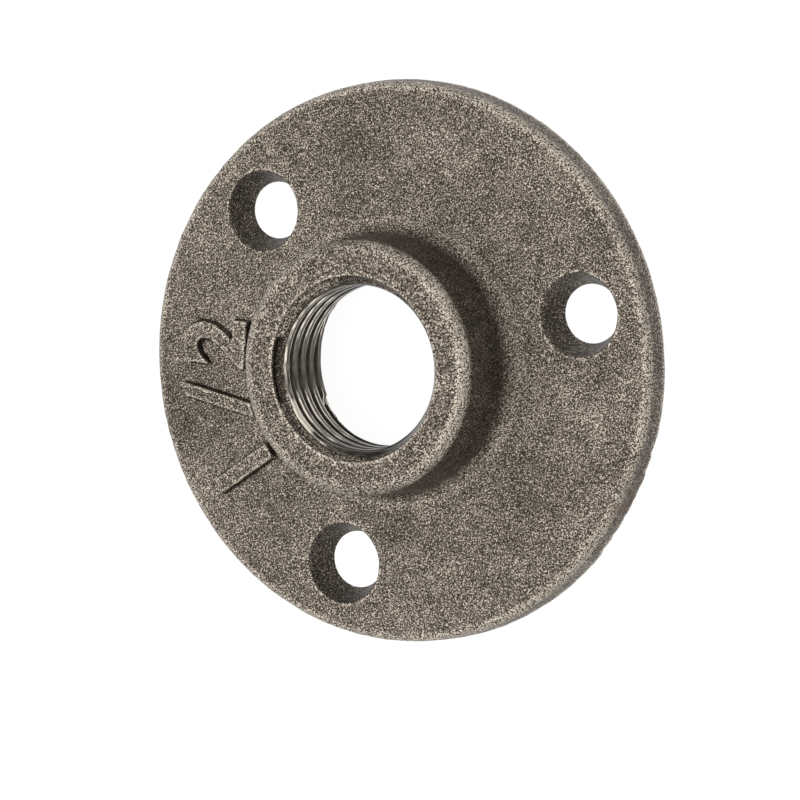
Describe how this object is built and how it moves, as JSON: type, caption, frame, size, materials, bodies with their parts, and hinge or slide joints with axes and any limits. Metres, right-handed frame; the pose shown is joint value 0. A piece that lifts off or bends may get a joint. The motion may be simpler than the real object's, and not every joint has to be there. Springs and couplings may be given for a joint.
{
  "type": "pipe flange",
  "caption": "Round cast-iron floor flange with a short threaded hub for half-inch pipe and tapered screw holes spread evenly round its plate.",
  "frame": {"origin": "centre of the flat back face, on the bore's axis", "axes": "+Z along the bore's axis from the back face to the hub's nose, +X through the middle of one screw hole"},
  "size_m": [0.065, 0.065, 0.013],
  "materials": {
    "cast_iron": "bare sand-cast surface, grainy, with a dull brown-grey metallic sparkle"
  },
  "bodies": {
    "root": {"flange": "cast_iron"}
  },
  "joints": []
}
